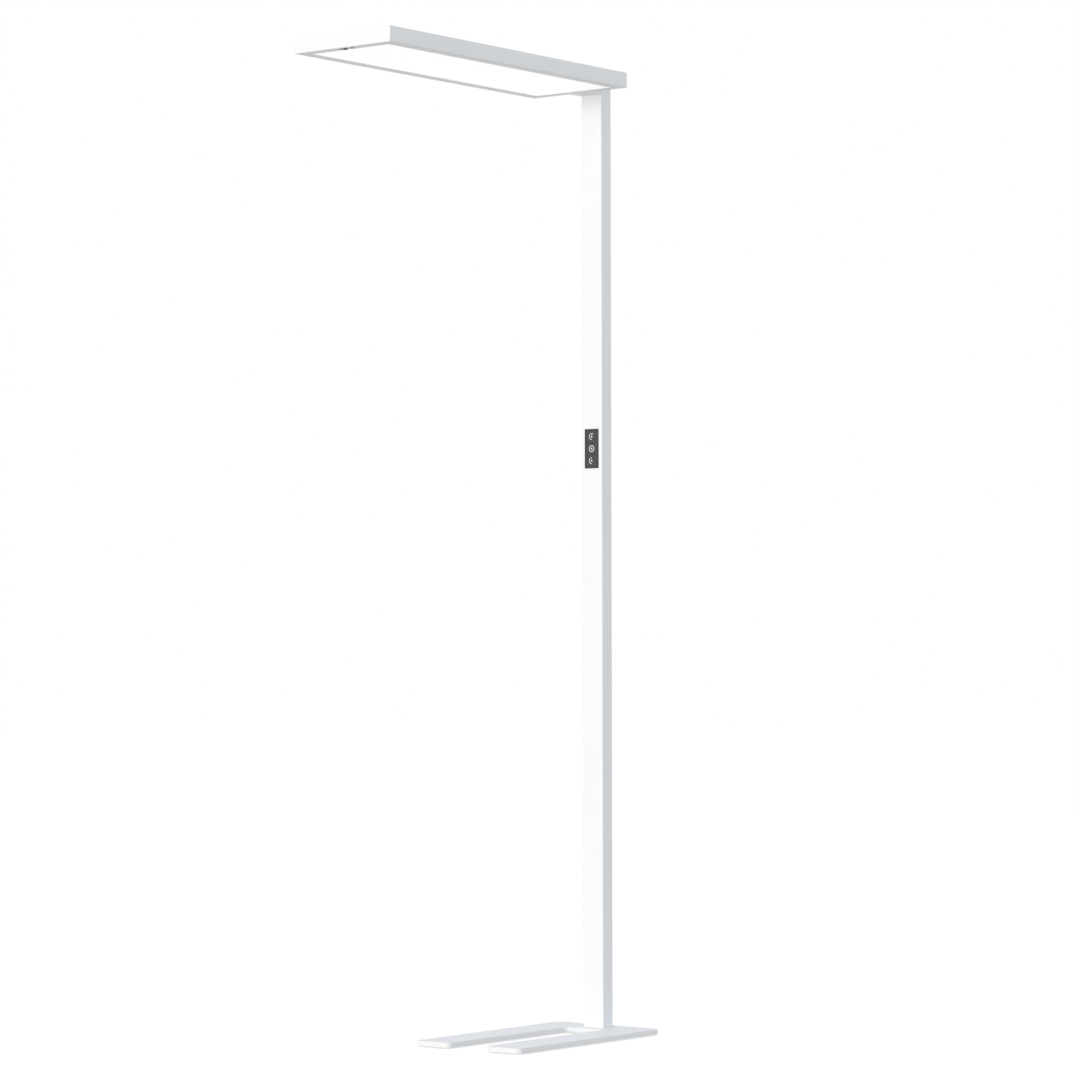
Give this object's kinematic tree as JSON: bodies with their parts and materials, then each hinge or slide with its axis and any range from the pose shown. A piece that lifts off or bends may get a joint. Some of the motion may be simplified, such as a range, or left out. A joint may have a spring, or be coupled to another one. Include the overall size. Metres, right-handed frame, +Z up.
{
  "type": "office floor lamp",
  "caption": "Tall office floor lamp: U-shaped floor plate, rectangular pole with push keys, and a thin flat head that lights the desk below and the ceiling above.",
  "frame": {"origin": "on the floor, on the pole's vertical axis", "axes": "+Z up; +X from the pole along the head to its free end; +Y towards the daylight sensor's side"},
  "size_m": [0.8185, 0.254, 1.912],
  "materials": {
    "coated_steel": "white powder coat on steel plate, fine texture, semi-matt",
    "coated_aluminium": "white powder coat on extruded aluminium, fine texture, semi-matt",
    "coated_casting": "white powder coat on die-cast aluminium, fine texture, semi-matt",
    "bare_aluminium": "mill finish",
    "zinc_steel": "zinc plated",
    "blackened_steel": "black oxide",
    "brass": "plain",
    "black_rubber": "matt",
    "black_plastic": "moulded, matt",
    "dark_grey_plastic": "moulded, matt",
    "dark_grey_keys": "moulded, satin",
    "white_plastic": "moulded, matt",
    "brown_sheath": "soft sheath",
    "white_sheath": "soft sheath",
    "grey_sheath": "soft sheath",
    "green_board": "solder resist",
    "white_board": "white solder resist on a metal core",
    "yellow_phosphor": "clear resin over phosphor",
    "opal_acrylic": "opal, satin",
    "clear_acrylic": "clear, finely structured",
    "dark_lens": "polished, infrared clear",
    "smoked_window": "polished, smoked"
  },
  "bodies": {
    "stand": {"base_plate": "coated_steel", "base_pads": "black_rubber", "base_screws": "zinc_steel", "pole_tube": "coated_aluminium", "pole_cap": "white_plastic", "mains_inlet": "black_plastic", "inlet_pins": "brass", "gear_tray": "zinc_steel", "tray_screws": "zinc_steel", "led_driver": "white_plastic", "driver_screws": "zinc_steel", "mains_wires": "brown_sheath", "output_lead": "white_sheath", "keypad_lead": "grey_sheath", "keypad_frame": "dark_grey_plastic", "keypad_board": "green_board", "switch_bodies": "black_plastic", "keypad_back": "dark_grey_plastic", "keypad_screws": "zinc_steel", "neck_casting": "coated_casting", "neck_rear_screws": "zinc_steel", "neck_head_screws": "zinc_steel", "rail_near": "coated_aluminium", "rail_far": "coated_aluminium", "rail_front": "coated_aluminium", "rail_rear": "coated_aluminium", "corner_keys": "bare_aluminium", "corner_screws": "blackened_steel", "led_plate": "bare_aluminium", "plate_screws": "zinc_steel", "down_boards": "white_board", "down_leds": "yellow_phosphor", "up_boards": "white_board", "up_leds": "yellow_phosphor", "down_diffuser": "opal_acrylic", "diffuser_gasket": "black_rubber", "up_cover": "clear_acrylic", "sensor_holder": "black_plastic", "sensor_board": "green_board", "presence_lens": "dark_lens", "daylight_window": "dark_lens", "remote_window": "smoked_window", "terminal_block": "white_plastic", "board_leads": "white_sheath", "sensor_lead": "grey_sheath"},
    "upper_key": {"key_up": "dark_grey_keys", "plunger_up": "white_plastic"},
    "middle_key": {"key_power": "dark_grey_keys", "plunger_power": "white_plastic"},
    "lower_key": {"key_down": "dark_grey_keys", "plunger_down": "white_plastic"}
  },
  "joints": [
    {"name": "upper_key_press", "type": "slide", "parent": "stand", "child": "upper_key", "axis": [-1, 0, 0], "range_m": [0, 0.001], "stiffness_N_per_m": 1500},
    {"name": "middle_key_press", "type": "slide", "parent": "stand", "child": "middle_key", "axis": [-1, 0, 0], "range_m": [0, 0.001], "stiffness_N_per_m": 1500},
    {"name": "lower_key_press", "type": "slide", "parent": "stand", "child": "lower_key", "axis": [-1, 0, 0], "range_m": [0, 0.001], "stiffness_N_per_m": 1500}
  ]
}
